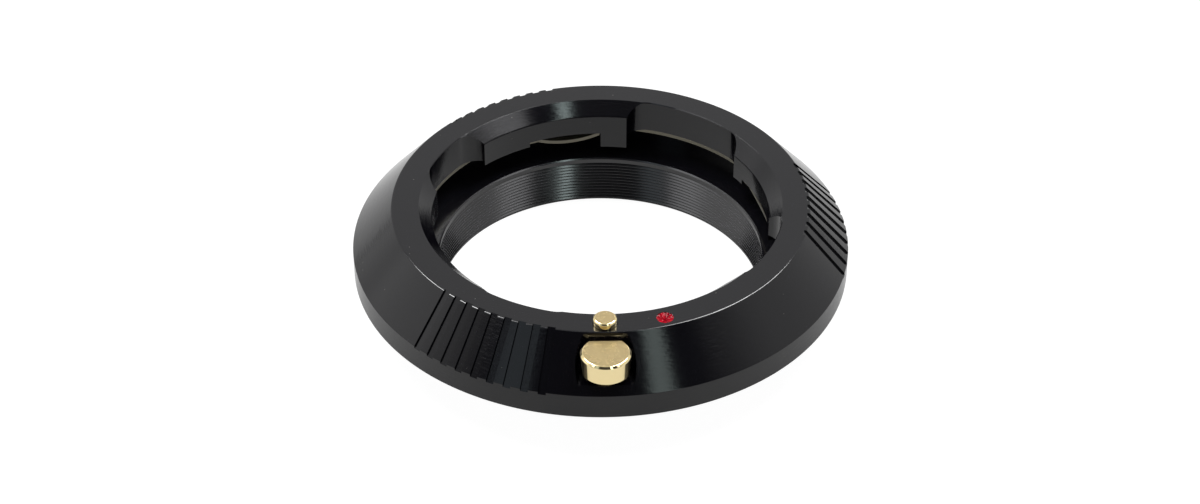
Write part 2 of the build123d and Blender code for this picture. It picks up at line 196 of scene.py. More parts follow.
def closed_piece(name, surfaces, merge_distance=0.002):
    """One object from several surfaces: points that meet are merged, and all faces are turned outwards."""
    starts = np.cumsum([0] + [len(points) for points, _ in surfaces])
    blocks = [block + start for (_, own_blocks), start in zip(surfaces, starts) for block in own_blocks]
    faces = [face for block in blocks for face in block.tolist()]
    mesh = bpy.data.meshes.new(name)
    mesh.from_pydata(np.concatenate([points for points, _ in surfaces]) * MM, [], faces)
    shape = bmesh.new()
    shape.from_mesh(mesh)
    bmesh.ops.remove_doubles(shape, verts=shape.verts, dist=merge_distance * MM)
    bmesh.ops.recalc_face_normals(shape, faces=shape.faces)
    shape.to_mesh(mesh)
    shape.free()
    piece = bpy.data.objects.new(name, mesh)
    bpy.context.scene.collection.objects.link(piece)
    return piece


def carve(piece, *cutter_sets):
    """Takes the cutters out of a piece, set after set: the exact difference of the two solids."""
    for cutters in cutter_sets:
        tool = closed_piece("cutter", cutters)
        cut = piece.modifiers.new("cut", "BOOLEAN")
        cut.operation, cut.solver, cut.object = "DIFFERENCE", "EXACT", tool
        whole = piece.data
        evaluated = piece.evaluated_get(bpy.context.evaluated_depsgraph_get())
        piece.data = bpy.data.meshes.new_from_object(evaluated)
        piece.modifiers.clear()
        for mesh in (whole, tool.data):
            bpy.data.meshes.remove(mesh)


def soften(piece, crease=28):
    """Smooth shading, but for edges that turn by more than the crease angle."""
    piece.data.polygons.foreach_set("use_smooth", np.ones(len(piece.data.polygons), bool))
    piece.data.set_sharp_from_angle(angle=np.radians(crease))


# Outside of the section, from the flange's inner edge outwards and back under the rim to the spring's seat
flange_inner, spring_corner = (slot_radius + edge_break, flange_height), (slot_radius, spring_seat)
flange_corner, rim_corner = (flange_radius, flange_height), (rim_radius, rim_top)
body_outside = np.vstack([
    flange_inner,
    eased(flange_inner, flange_corner, rim_corner, edge_break),
    eased(flange_corner, rim_corner, (rim_radius, rim_bottom), edge_break / 2),
    [(rim_radius, rim_bottom + rim_edge_break), (rim_radius - rim_edge_break, rim_bottom),
     (recess_radius, rim_bottom), (recess_radius, recess_top), (bore_radius, recess_top),
     (bore_radius, spring_seat), spring_corner],
])

# Inside of the section: the claw's face with its lead-in, and below it a heel, or a window over a leaf
claw_foot, claw_shoulder = (claw_radius, spring_seat), (claw_radius, flange_height - lead_in)
claw_lip = (claw_radius + lead_in, flange_height)
claw_face = np.vstack([
    claw_foot,
    eased(claw_foot, claw_shoulder, claw_lip, edge_break),
    eased(claw_shoulder, claw_lip, flange_inner, lip_break, steps=2),
    flange_inner,
])
heel_top = (heel_radius, spring_seat)
window_inside = np.vstack([spring_corner, heel_top, claw_face])


def heel_inside(underside):
    """The path down the back of a heel, along its underside and up the claw's face."""
    back, front = (heel_radius, underside), (claw_radius, underside)
    return np.vstack([spring_corner, heel_top, eased(heel_top, back, front, claw_edge_break),
                      eased(back, front, claw_foot, claw_edge_break), claw_face])


body_arcs, slots = [], []
for index, (low, high, leaf_low, leaf_high) in enumerate(claws):
    next_low = claws[index + 1][0] if index + 1 < len(claws) else claws[0][0] + 360
    first_heel = heel_inside(stop_underside if index == stop_claw else claw_underside)
    body_arcs += [(low, leaf_low, first_heel), (leaf_low, leaf_high, window_inside),
                  (leaf_high, high, heel_inside(claw_underside)), (high, next_low, window_inside)]
    slots.append((high, next_low))
adapter_body = closed_piece("turned_body", stepped_ring(body_outside, body_arcs))

# Slots between the claws: milled out with a round cutter, whose radius stays in the ends, and broken at
# the top edge
mill_reach = slot_radius - slot_mill_radius
mill_turn = np.degrees(np.arccos(
    (mill_reach ** 2 + claw_radius ** 2 - slot_mill_radius ** 2) / (2 * mill_reach * claw_radius)))


def slot_outline(low, high, grow, end_turn=80, end_steps=17, wall_steps=49):
    """The cutter's arc at one end, the slot's wall at the slot radius, and the arc at the other end, all
    grown alike."""
    first, last = low + mill_turn, high - mill_turn
    swing = np.linspace(end_turn, 0, end_steps)

    def end_arc(bearing, turn):
        return at_bearing(mill_reach, bearing, 0) + at_bearing(slot_mill_radius + grow, bearing + turn, 0)

    wall = at_bearing(slot_radius + grow, np.linspace(first, last, wall_steps)[1:-1], 0)
    return np.concatenate([end_arc(first, -swing), wall, end_arc(last, swing[::-1])])[:, :2]


slot_grows = [0, 0, edge_break, edge_break]
slot_heights = [spring_seat - inside, flange_height - edge_break, flange_height, flange_height + above]
slot_cutters = [
    stacked([slot_outline(low, high, grow) for grow in slot_grows], slot_heights) for low, high in slots]

# Grip grooves: slots milled down the slope, out through both edges of the cone
slope = np.hypot(cone_width, cone_height)
groove_index = np.arange(groove_count) - (groove_count - 1) / 2
groove_bearings = (groove_groups[:, None] + groove_index * groove_pitch).ravel()
square = ((-1, -1), (1, -1), (1, 1), (-1, 1))
cutter_corners = np.array([(x, y, z) for z in (-groove_depth, groove_cutter_rise) for x, y in square])
across, along, rise = (cutter_corners * (groove_width / 2, slope / 2 + groove_overrun, 1)).T
cutter_reach = flange_radius + cone_width / 2 + (along * cone_width + rise * cone_height) / slope
cutter_height = flange_height - cone_height / 2 + (rise * cone_width - along * cone_height) / slope
cutter_faces = [grid_quads(2, 4, ring=True), np.array([(0, 1, 2, 3), (4, 5, 6, 7)])]
groove_cutters = [
    (at_bearing(cutter_reach, bearing, cutter_height) + across[:, None] * at_bearing(1.0, bearing + 90, 0),
     cutter_faces)
    for bearing in groove_bearings]

# Lock: the pin's hole, the button's pocket with the stem's hole in its floor, and the bridge plate's cavity
pin_low, pin_high = np.round(np.array(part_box("lock_pin")) / MM, 3)
pin_radius, pin_reach = pin_high[0], -(pin_low[1] + pin_high[1]) / 2
lock_plate_top = pin_low[2]
running_clearance = 0.04
_, button_high = np.round(np.array(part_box("release_button")) / MM, 3)
button_flat = 2.2
button_reach = -button_high[1] + button_flat
pocket_radius, pocket_wall, pocket_floor = 3.5, 0.25, 1.7
pocket_wall_reach = pin_reach + pin_radius + running_clearance + pocket_wall
pocket_flat = button_reach - pocket_wall_reach
pocket_floor_height = lock_plate_top + pocket_floor
stem_radius = 1.2
lock_plate_overlap, cavity_play, cavity_half_width = 1.2, 0.15, 2.35
cavity_outer = button_reach + lock_plate_overlap + cavity_play
pocket = d_rings((0, -button_reach), [
    (pocket_radius, pocket_flat, height) for height in (pocket_floor_height, flange_height + above)])


def bridge_cutter(inner, outer, bottom, top):
    """A box for the bridge plate to move in, as wide as the cavity, between two distances from the axis."""
    outline = np.array([(-1, 0), (1, 0), (1, 1), (-1, 1)]) * (cavity_half_width, inner - outer) - (0, inner)
    return stacked([outline] * 2, (bottom, top))


# Index dimple, and the tapped holes for the screws of the spring ring and of the rear ring
dot_reach, dot_bearing = slot_radius + flange_width / 2 + edge_break, 16.8
dot_radius, dot_depth = 1.0, 0.55
spring_screw_reach, spring_screw_turn = slot_radius + spring_ring_width / 2, 2.5
spring_screw_hole, spring_screw_depth = 0.55, 2.4
spring_screw_bearings = [leaf_high + spring_screw_turn for _, _, _, leaf_high in claws]
seat_clearance, rear_screw_margin = 0.05, 2.3
rear_ring_radius = recess_radius - seat_clearance
rear_screw_bearings = [45.0, 135.0, 225.0, 315.0]
rear_screw_reach, rear_screw_hole, rear_screw_depth = rear_ring_radius - rear_screw_margin, 0.8, 2.0
carve(
    adapter_body,
    slot_cutters,
    groove_cutters + [pocket]
    + drilled(pin_reach, [0], pin_radius + running_clearance, lock_plate_top - inside, flange_height + above)
    + drilled(dot_reach, [dot_bearing], dot_radius, flange_height - dot_depth, flange_height + above)
    + drilled(spring_screw_reach, spring_screw_bearings, spring_screw_hole,
              spring_seat - inside, spring_seat + spring_screw_depth)
    + drilled(rear_screw_reach, rear_screw_bearings, rear_screw_hole,
              recess_top - inside, recess_top + rear_screw_depth),
    [bridge_cutter(pin_reach, cavity_outer, recess_top - inside, lock_plate_top)],
    drilled(button_reach, [0], stem_radius + running_clearance,
            lock_plate_top - inside, pocket_floor_height + inside),
)
soften(adapter_body)


def add_node(tree, kind, inputs=None, **settings):
    """Adds a shader node. Each input is a value or another node's output socket."""
    node = tree.nodes.new(kind)
    for name, value in settings.items():
        setattr(node, name, value)
    for name, value in (inputs or {}).items():
        if isinstance(value, bpy.types.NodeSocket):
            tree.links.new(value, node.inputs[name])
        else:
            node.inputs[name].default_value = value
    return node


def calc(tree, operation, *values):
    """Adds a math node and returns its result."""
    return add_node(tree, "ShaderNodeMath", dict(enumerate(values)), operation=operation).outputs[0]


def vector_calc(tree, operation, *values):
    """Adds a vector math node and returns its outputs."""
    return add_node(tree, "ShaderNodeVectorMath", dict(enumerate(values)), operation=operation).outputs


def split(tree, vector):
    """The x, y and z of a vector."""
    return add_node(tree, "ShaderNodeSeparateXYZ", {0: vector}).outputs


def object_place(tree):
    """The place of a point in its piece's own coordinates, in metres."""
    return add_node(tree, "ShaderNodeTexCoord").outputs["Object"]


def noise(tree, vector, **inputs):
    """A noise between 0 and 1 over a vector."""
    return add_node(tree, "ShaderNodeTexNoise", {"Vector": vector, **inputs}).outputs["Fac"]


def new_group(name, inputs, output):
    """A shader node group with float inputs, which have default values, and one float output."""
    group = bpy.data.node_groups.new(name, "ShaderNodeTree")
    for socket, value in inputs.items():
        added = group.interface.new_socket(name=socket, in_out="INPUT", socket_type="NodeSocketFloat")
        added.default_value = value
    group.interface.new_socket(name=output, in_out="OUTPUT", socket_type="NodeSocketFloat")
    group_out = group.nodes.new("NodeGroupOutput").inputs[output]
    return group, group.nodes.new("NodeGroupInput").outputs, group_out


def effect(tree, group, **inputs):
    """Places a node group in a material with its own values, and returns its output."""
    node = add_node(tree, "ShaderNodeGroup", node_tree=group)
    for name, value in inputs.items():
        node.inputs[name.replace("_", " ")].default_value = value
    return node.outputs[0]


def between(tree, factor, low, high):
    """A value that goes from low to high as the factor goes from 0 to 1."""
    return calc(tree, "MULTIPLY_ADD", factor, high - low, low)


def mixed(tree, factor, one, other, blend="MIX"):
    """Two colours mixed by a factor from 0 to 1. Each is a colour or a socket."""
    inputs = {0: factor, 6: one, 7: other}
    return add_node(tree, "ShaderNodeMix", inputs, data_type="RGBA", blend_type=blend).outputs[2]


def tint(tree, factor, colour, other):
    """A colour that goes from one to the other as the factor goes from 0 to 1."""
    return mixed(tree, factor, (*colour, 1), (*other, 1))


def new_finish(name, **constants):
    """A material whose Principled shader has these constants on its own sockets."""
    material = bpy.data.materials.new(name)
    material.use_nodes = True
    shader = material.node_tree.nodes["Principled BSDF"]
    for socket, value in constants.items():
        shader.inputs[socket.replace("_", " ")].default_value = value
    return material, material.node_tree, shader.inputs


def dress(piece, material, body):
    """Gives a piece its finish and the body it rides on."""
    piece.data.materials.clear()
    piece.data.materials.append(material)
    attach(piece, body)


# Turning marks: fine rings left by the lathe, a noise that changes fast along reach and height and slowly
# round the axis
height_share = 0.4
turning_marks, marks_in, marks_out = new_group(
    "turning marks", {"Lines per mm": 10.0, "Breaks per mm": 1.0}, "Height")
marks_place = object_place(turning_marks)
across_axis = vector_calc(turning_marks, "MULTIPLY", marks_place, (1.0, 1.0, 0.0))[0]
reach = vector_calc(turning_marks, "LENGTH", across_axis)["Value"]
spoke = vector_calc(turning_marks, "NORMALIZE", across_axis)[0]
breaks = calc(turning_marks, "MULTIPLY", marks_in["Breaks per mm"], flange_radius)
around = add_node(
    turning_marks, "ShaderNodeVectorMath", {0: spoke, "Scale": breaks}, operation="SCALE").outputs[0]
around_x, around_y, _ = split(turning_marks, around)
height = split(turning_marks, marks_place)[2]
along_section = calc(turning_marks, "MULTIPLY_ADD", height, height_share, reach)
lines_per_metre = calc(turning_marks, "DIVIDE", marks_in["Lines per mm"], MM)
lines = calc(turning_marks, "MULTIPLY", along_section, lines_per_metre)
rings = add_node(turning_marks, "ShaderNodeCombineXYZ", {0: around_x, 1: around_y, 2: lines}).outputs[0]
turning_marks.links.new(noise(turning_marks, rings, Scale=1.0, Detail=1.0), marks_out)

# Handling: broad uneven patches left by wiping and by fingers
handling, handling_in, handling_out = new_group("handling", {"Patch size mm": 7.0}, "Patches")
patches_per_metre = calc(handling, "DIVIDE", 1 / MM, handling_in["Patch size mm"])
patches = noise(handling, object_place(handling), Scale=patches_per_metre, Detail=4.0, Roughness=0.6)
handling.links.new(patches, handling_out)

# Dust: a few specks, each near the middle of a cell that its random colour picks out
dust, dust_in, dust_out = new_group("dust", {"Spacing mm": 1.0, "Speck": 0.07, "Share": 0.1}, "Mask")
cells_per_metre = calc(dust, "DIVIDE", 1 / MM, dust_in["Spacing mm"])
cell_inputs = {"Vector": object_place(dust), "Scale": cells_per_metre}
cells = add_node(dust, "ShaderNodeTexVoronoi", cell_inputs).outputs
cell_red = add_node(dust, "ShaderNodeSeparateColor", {0: cells["Color"]}).outputs[0]
in_picked_cell = calc(dust, "LESS_THAN", cell_red, dust_in["Share"])
near_middle = calc(dust, "LESS_THAN", cells["Distance"], dust_in["Speck"])
dust.links.new(calc(dust, "MULTIPLY", in_picked_cell, near_middle), dust_out)


def bump(tree, height, depth):
    """The normal of a surface whose height goes up and down by a depth in millimetres."""
    inputs = {"Height": height, "Strength": 1.0, "Distance": depth * MM}
    return add_node(tree, "ShaderNodeBump", inputs).outputs[0]


gloss_black, dust_colour = (0.003, 0.0028, 0.0046), (0.12, 0.115, 0.105)
gloss_roughness = (0.07, 0.16)
grain_size, marks_weight, surface_depth = 0.25, 3.0, 0.0028
black_anodised, tree, shader = new_finish("black_anodised", IOR=1.45)
tree.links.new(tint(tree, effect(tree, dust), gloss_black, dust_colour), shader["Base Color"])
tree.links.new(between(tree, effect(tree, handling), *gloss_roughness), shader["Roughness"])
grain = effect(tree, handling, Patch_size_mm=grain_size)
marks = calc(tree, "MULTIPLY", effect(tree, turning_marks), marks_weight)
tree.links.new(bump(tree, calc(tree, "ADD", grain, marks), surface_depth), shader["Normal"])
dress(adapter_body, black_anodised, "adapter")
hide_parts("adapter_body")


def patchy_metal(name, metallic, patch_size, dark, bright, roughness):
    """A bare metal whose colour and roughness change together in handled patches."""
    material, tree, shader = new_finish(name, Metallic=metallic)
    patches = effect(tree, handling, Patch_size_mm=patch_size)
    tree.links.new(tint(tree, patches, dark, bright), shader["Base Color"])
    tree.links.new(between(tree, patches, *roughness), shader["Roughness"])
    return material, tree, shader


def finish_nodes(names, material):
    """Gives nodes of the frame their finish."""
    for name in names:
        frame_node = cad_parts[name]
        frame_node.data.materials.clear()
        frame_node.data.materials.append(material)


# Leaf spring ring: blanked from blackened spring steel sheet, open at the lock pin.
# It lies against the seat behind the flange, and a bowed leaf under each claw presses on the lens's lugs.
# The bridge plate that joins pin and button is cut from the same steel.
spring_steel, _, _ = patchy_metal(
    "spring_steel", 0.7, patch_size=3.0, dark=(0.13, 0.12, 0.092), bright=(0.21, 0.195, 0.15),
    roughness=(0.3, 0.46))
finish_nodes(("leaf_spring_ring", "lock_plate"), spring_steel)

# Screws: small slotted screws of blackened steel.
# Four cheese heads hold the spring ring from behind, two countersunk ones hold the lock together,
# and four larger countersunk ones go through the rear ring and the tube's flange into the body.
small_screws, _, _ = patchy_metal(
    "small_screws", 0.8, patch_size=1.2, dark=(0.12, 0.12, 0.125), bright=(0.24, 0.24, 0.24),
    roughness=(0.2, 0.36))
finish_nodes(("spring_ring_screws", "lock_screws", "rear_mount_screws"), small_screws)

# Throat tube: turned aluminium, anodised matt black, clamped between the rear ring and the body.
# Its flange is the floor under the claws, and its bore has fine V grooves against stray light.
throat_radius, tube_radius = 20.0, 20.9
plate_floor = rear_seat + rear_plate
throat_chamfer, throat_groove_start = 0.15, 0.75
throat_grooves, throat_groove_pitch, throat_groove_width = 12, 0.46, 0.4
bore_top = recess_top - throat_chamfer
groove_middles = bore_top - throat_groove_start - np.arange(throat_grooves) * throat_groove_pitch
groove_heights = groove_middles[:, None] + np.array([0.5, 0.0, -0.5]) * throat_groove_width
groove_reaches = throat_radius + np.array([0.0, throat_groove_width / 2, 0.0])
groove_path = np.stack(np.broadcast_arrays(groove_reaches, groove_heights), -1).reshape(-1, 2)
tube_path = np.vstack([
    [(throat_radius, bore_top)],
    groove_path,
    [(throat_radius, edge_break), (throat_radius + edge_break, 0), (tube_radius - edge_break, 0),
     (tube_radius, edge_break), (tube_radius, plate_floor), (rear_ring_radius, plate_floor),
     (rear_ring_radius, recess_top), (throat_radius + throat_chamfer, recess_top), (throat_radius, bore_top)],
])
throat_tube = closed_piece("turned_throat_tube", [turned(tube_path, np.linspace(0, 360, 361))])
bridge_room_inner = pin_reach - lock_plate_overlap - cavity_play
carve(
    throat_tube,
    [bridge_cutter(bridge_room_inner, rear_ring_radius + above, plate_floor, recess_top + above)]
    + drilled(rear_screw_reach, rear_screw_bearings, rear_screw_hole,
              plate_floor - inside, recess_top + inside),
)
soften(throat_tube)
dull_black, dull_roughness, throat_dust = (0.006, 0.0058, 0.008), (0.13, 0.22), 0.04
matt_black, tree, shader = new_finish("matt_black", IOR=1.62)
dusted_black = tint(tree, effect(tree, dust, Share=throat_dust), dull_black, dust_colour)
tree.links.new(dusted_black, shader["Base Color"])
tree.links.new(between(tree, effect(tree, handling), *dull_roughness), shader["Roughness"])
dress(throat_tube, matt_black, "adapter")
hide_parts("throat_tube")

# Rear mount ring: the camera-side bayonet of satin-chromed brass, screwed on from behind.
# A barrel with three outward lugs stands on a seat plate, which is undercut at the barrel.
barrel_bore, barrel_radius, lug_radius, barrel_foot = 20.95, 21.9, 23.0, 0.6
seat_relief_margin, seat_relief_depth = 0.4, 0.2
seat_relief_radius, seat_relief_height = lug_radius + seat_relief_margin, rear_seat + seat_relief_depth
lug_gap, lug_thickness, lug_chamfer = 1.9, 1.5, 0.2
lug_top, lug_bottom = rear_seat - lug_gap, rear_seat - lug_gap - lug_thickness
lug_bearings, lug_span, lug_pitch = [10.0, 130.0, 250.0], 56.0, 120
lug_root_low, lug_root_high = (barrel_radius, lug_bottom), (barrel_radius, lug_top)
seat_edge, bore_corner = (rear_ring_radius, rear_seat), (barrel_bore, barrel_foot)
barrel_corner, plate_back = (barrel_radius, barrel_foot), (rear_ring_radius, plate_floor)
ring_outside = np.vstack([
    [lug_root_high, (barrel_radius, seat_relief_height), (seat_relief_radius, seat_relief_height)],
    [(seat_relief_radius, rear_seat + edge_break / 2), (seat_relief_radius + edge_break / 2, rear_seat)],
    eased((seat_relief_radius, rear_seat), seat_edge, plate_back, edge_break),
    [plate_back, (barrel_bore, plate_floor)],
    eased((barrel_bore, plate_floor), bore_corner, barrel_corner, 2 * edge_break),
    eased(bore_corner, barrel_corner, lug_root_low, 2 * edge_break),
    lug_root_low,
])
barrel_inside = [lug_root_low, lug_root_high]
lug_inside = [lug_root_low, (lug_radius - lug_chamfer, lug_bottom), (lug_radius, lug_bottom + lug_chamfer),
              (lug_radius, lug_top - lug_chamfer), (lug_radius - lug_chamfer, lug_top), lug_root_high]
ring_arcs = []
for bearing in lug_bearings:
    lug_end = bearing + lug_span
    ring_arcs += [(bearing, lug_end, lug_inside), (lug_end, bearing + lug_pitch, barrel_inside)]
rear_mount_ring = closed_piece("turned_rear_ring", stepped_ring(ring_outside, ring_arcs))
countersink_radius, spring_pocket_radius, spring_pocket_depth = 1.5, 0.85, 0.65
spring_foot = plate_floor - spring_pocket_depth
camera_lock_margin, camera_lock_bearing, camera_lock_radius = 3.4, 100.0, 1.1
return_spring_offset, return_spring_reach = 1.25, (pin_reach + button_reach) / 2
spring_centres = [(side * return_spring_offset, -return_spring_reach) for side in (-1, 1)]
countersinks = bored(at_bearing(rear_screw_reach, np.array(rear_screw_bearings), 0)[:, :2], [
    (countersink_radius, rear_seat - inside), (countersink_radius, rear_seat),
    (rear_screw_hole, rear_seat + countersink_radius - rear_screw_hole),
    (rear_screw_hole, plate_floor + inside)])
spring_pockets = bored(
    spring_centres, [(spring_pocket_radius, spring_foot), (spring_pocket_radius, plate_floor + inside)])
carve(rear_mount_ring, countersinks + spring_pockets + drilled(
    rear_ring_radius - camera_lock_margin, [camera_lock_bearing], camera_lock_radius,
    rear_seat - inside, plate_floor + inside))
soften(rear_mount_ring)
chrome_marks_depth = 0.004
satin_chrome, tree, shader = patchy_metal(
    "satin_chrome", 1.0, patch_size=7.0, dark=(0.56, 0.56, 0.57), bright=(0.66, 0.66, 0.67),
    roughness=(0.2, 0.34))
tree.links.new(bump(tree, effect(tree, turning_marks), chrome_marks_depth), shader["Normal"])
dress(rear_mount_ring, satin_chrome, "adapter")
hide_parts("rear_mount_ring")

# Lock pin: turned brass, polished and gold plated, with a satin top, standing out of the flange face.
# It drops into the lens's notch, and the bridge plate behind joins it to the button.
pin_top, pin_chamfer, pin_easing = pin_high[2], 0.18, 0.06
tap_radius, tap_depth, screw_bite = 0.55, 0.4, 1.4
tap_top = lock_plate_top + screw_bite + tap_depth


def tapped_end(radius, top_rings):
    """Rings from the bottom of a screw's hole, out of its mouth, and up a round shank to those above it."""
    hole = [(0, tap_top), (tap_radius, tap_top), (tap_radius, lock_plate_top)]
    return round_rings(hole + [(radius, lock_plate_top)]) + top_rings


pin_foot, pin_shoulder = (pin_radius, lock_plate_top), (pin_radius, pin_top - pin_chamfer)
pin_edge, pin_middle = (pin_radius - pin_chamfer, pin_top), (0, pin_top)
pin_path = np.vstack([
    eased(pin_foot, pin_shoulder, pin_edge, pin_easing),
    eased(pin_shoulder, pin_edge, pin_middle, pin_easing),
    pin_middle,
])
pin_rings = tapped_end(pin_radius, round_rings(pin_path))
lock_pin = closed_piece("plated_pin", [d_rings((0, -pin_reach), pin_rings)])
soften(lock_pin)
polished_gold, satin_gold = (0.92, 0.765, 0.425), (0.515, 0.395, 0.19)
polished_metallic, satin_metallic = 1.0, 0.35
polished_roughness, satin_roughness, gold_patch_size = (0.04, 0.1), 0.2, 1.5
level_normal = 0.99
gold_plate, tree, shader = new_finish("gold_plate")
normal = add_node(tree, "ShaderNodeNewGeometry").outputs["Normal"]
satin_top = calc(tree, "GREATER_THAN", split(tree, normal)[2], level_normal)
tree.links.new(tint(tree, satin_top, polished_gold, satin_gold), shader["Base Color"])
tree.links.new(between(tree, satin_top, polished_metallic, satin_metallic), shader["Metallic"])
gold_roughness = between(tree, effect(tree, handling, Patch_size_mm=gold_patch_size), *polished_roughness)
tree.links.new(calc(tree, "MULTIPLY_ADD", satin_top, satin_roughness, gold_roughness), shader["Roughness"])
dress(lock_pin, gold_plate, "lock")
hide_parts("lock_pin")

# Release button: a D-shaped cap with its stem, turned and milled from brass and gold plated.
# It stands in the pocket of the cone, and its stem goes through the floor to the bridge plate.
button_radius, button_height, button_chamfer = button_high[0], 2.5, 0.25
button_lip_easing, button_foot_easing = 0.04, 0.08
button_top, button_bottom = button_high[2], button_high[2] - button_height
wall_foot, wall_top = (0, button_bottom), (0, button_top - button_chamfer)
lip_edge = (button_chamfer, button_top)
cap_path = np.vstack([
    eased((1, button_bottom), wall_foot, (0, button_top), button_foot_easing),
    eased(wall_foot, wall_top, lip_edge, button_lip_easing),
    eased(wall_top, lip_edge, (1, button_top), button_lip_easing),
])
cap_rings = [(button_radius - inset, button_flat - inset, height) for inset, height in cap_path]
button_rings = tapped_end(stem_radius, round_rings([(stem_radius, button_bottom)]) + cap_rings)
release_button = closed_piece("plated_button", [d_rings((0, -button_reach), button_rings, count=144)])
soften(release_button)
dress(release_button, gold_plate, "lock")
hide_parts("release_button")

# Return springs: two coils of steel wire that stand in blind holes of the rear ring and push the bridge up.
# They are pressed shorter as the button goes down.
wire_radius, coil_radius, coil_turns = 0.1, 0.6, 4.5
spring_top = np.array(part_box("return_springs"))[1, 2] / MM


def coiled_wire(centre, bottom, top, steps=109, sides=10):
    """A helix that climbs evenly as it turns, with a circle of wire carried along it: the circle is
    spanned by the outward direction and by its cross product with the path. Flat discs close the ends."""
    turn = np.linspace(0, 2 * np.pi * coil_turns, steps)
    outward = np.stack([np.cos(turn), np.sin(turn), np.zeros(steps)], -1)
    climb = (top - bottom - 2 * wire_radius) / turn[-1]
    ahead = np.stack([-coil_radius * np.sin(turn), coil_radius * np.cos(turn), np.full(steps, climb)], -1)
    across_wire = np.cross(ahead / np.linalg.norm(ahead, axis=1, keepdims=True), outward)
    middle = np.stack(np.broadcast_arrays(*centre, bottom + wire_radius + climb * turn), -1)
    swing = np.linspace(0, 2 * np.pi, sides, endpoint=False)[:, None]
    circle = wire_radius * (np.cos(swing) * outward[:, None] + np.sin(swing) * across_wire[:, None])
    points = (coil_radius * outward + middle)[:, None] + circle
    first = np.arange(sides)[None]
    return points.reshape(-1, 3), [grid_quads(steps, sides, ring=True), first, first + (steps - 1) * sides]


return_springs = closed_piece(
    "coiled_springs", [coiled_wire(centre, spring_foot, spring_top) for centre in spring_centres])
soften(return_springs)
dress(return_springs, spring_steel, "adapter")
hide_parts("return_springs")
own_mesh(return_springs)

# Index dot: red enamel run into a dimple of the flange face and left slightly hollow.
# The streaks of the tool that cut the dimple show through it as bumps. The same streaks are also painted into
# its colour as dark and bright red: painted shade and painted highlights.
dot_edge_depth, dot_dish = 0.06, 0.26
dot_centre = at_bearing(dot_reach, dot_bearing, 0)
dish_radius = np.linspace(0, dot_radius, 13)
dish_height = flange_height - dot_edge_depth - dot_dish * (1 - (dish_radius / dot_radius) ** 2)
dot_foot = flange_height - dot_depth
dot_path = [*zip(dish_radius, dish_height), (dot_radius, dot_foot), (0, dot_foot)]
index_dot = closed_piece("enamel_dot", [d_rings(dot_centre[:2], round_rings(dot_path))])
soften(index_dot)
# The darker red is painted shade and the brighter red is a painted highlight. The colour is mixed between them
# along the tool's streaks.
streak_shade_red, streak_highlight_red, enamel_roughness = (0.16, 0.0006, 0.005), (0.75, 0.006, 0.027), (0.04, 0.1)
enamel_patch_size, streak_scale, streak_depth = 0.8, 4.0, 0.3
painted_streak_gain, painted_streak_offset = 3.0, -1.0
red_enamel, tree, shader = new_finish("red_enamel", IOR=1.15)
enamel_patches = effect(tree, handling, Patch_size_mm=enamel_patch_size)
tree.links.new(between(tree, enamel_patches, *enamel_roughness), shader["Roughness"])
from_centre = vector_calc(tree, "SUBTRACT", object_place(tree), dot_centre * MM)[0]
dot_spoke = vector_calc(tree, "NORMALIZE", vector_calc(tree, "MULTIPLY", from_centre, (1.0, 1.0, 0.0))[0])[0]
tool_marks_and_streak_light = noise(tree, dot_spoke, Scale=streak_scale, Detail=1.0)
# Painted light: the tool-mark noise, stretched in contrast, swings the red between painted shade and painted
# highlight.
painted_streak_light = calc(tree, "MULTIPLY_ADD", tool_marks_and_streak_light, painted_streak_gain, painted_streak_offset)
tree.links.new(tint(tree, painted_streak_light, streak_shade_red, streak_highlight_red), shader["Base Color"])
tree.links.new(bump(tree, tool_marks_and_streak_light, streak_depth), shader["Normal"])
dress(index_dot, red_enamel, "adapter")
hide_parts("index_dot")

# Floor: a plain white sheet a hair below the ring. What camera and reflections see of it is mostly its own
# white, and the rest takes the shadow. It is clear from below, so that the camera side can be looked at.
floor_half, floor_height = 3000.0, -0.02
white_seen, white_mirrored = 0.95, 0.26
shade_seen, shade_mirrored = 0.18, 0.62
floor_corners = np.array([(*corner, 0) for corner in square]) * floor_half + (0, 0, floor_height)
floor = closed_piece("floor", [(floor_corners, [np.arange(4)[None]])])
floor_white = bpy.data.materials.new("floor_white")
floor_white.use_nodes = True
tree = floor_white.node_tree
tree.nodes.clear()


def ray_kinds(tree):
    """Two masks: for rays from the camera, and for rays that a piece reflects or lets through."""
    path = add_node(tree, "ShaderNodeLightPath").outputs
    return path["Is Camera Ray"], calc(tree, "MAXIMUM", path["Is Glossy Ray"], path["Is Transmission Ray"])


seen, mirrored = ray_kinds(tree)
strength = calc(tree, "MULTIPLY_ADD", seen, white_seen, calc(tree, "MULTIPLY", mirrored, white_mirrored))
glow = add_node(tree, "ShaderNodeEmission", {"Strength": strength})
sheet = add_node(tree, "ShaderNodeBsdfDiffuse", {"Color": between(tree, mirrored, shade_seen, shade_mirrored)})
both = add_node(tree, "ShaderNodeAddShader", {0: glow.outputs[0], 1: sheet.outputs[0]})
clear = add_node(tree, "ShaderNodeBsdfTransparent")
from_below = add_node(tree, "ShaderNodeNewGeometry").outputs["Backfacing"]
one_sided = add_node(tree, "ShaderNodeMixShader", {0: from_below, 1: both.outputs[0], 2: clear.outputs[0]})
add_node(tree, "ShaderNodeOutputMaterial", {"Surface": one_sided.outputs[0]})
floor.data.materials.append(floor_white)

# Studio: a white tent with a dark opening on the camera's side. Reflections see the tent with its narrow
# lamps, side panels and overhead panels; the camera sees plain white; the rest of its light is even.
# Two soft boxes behind the ring throw the light that casts shadows.
world = bpy.data.worlds.new("studio")
world.use_nodes = True
bpy.context.scene.world = world
sky = world.node_tree
sky.nodes.clear()
x, y, z = split(sky, add_node(sky, "ShaderNodeTexCoord").outputs["Generated"])
sky_bearing = calc(sky, "ARCTAN2", x, calc(sky, "MULTIPLY", y, -1.0))
side_bearing = calc(sky, "ABSOLUTE", sky_bearing)
sky_height = calc(sky, "ARCSINE", z)


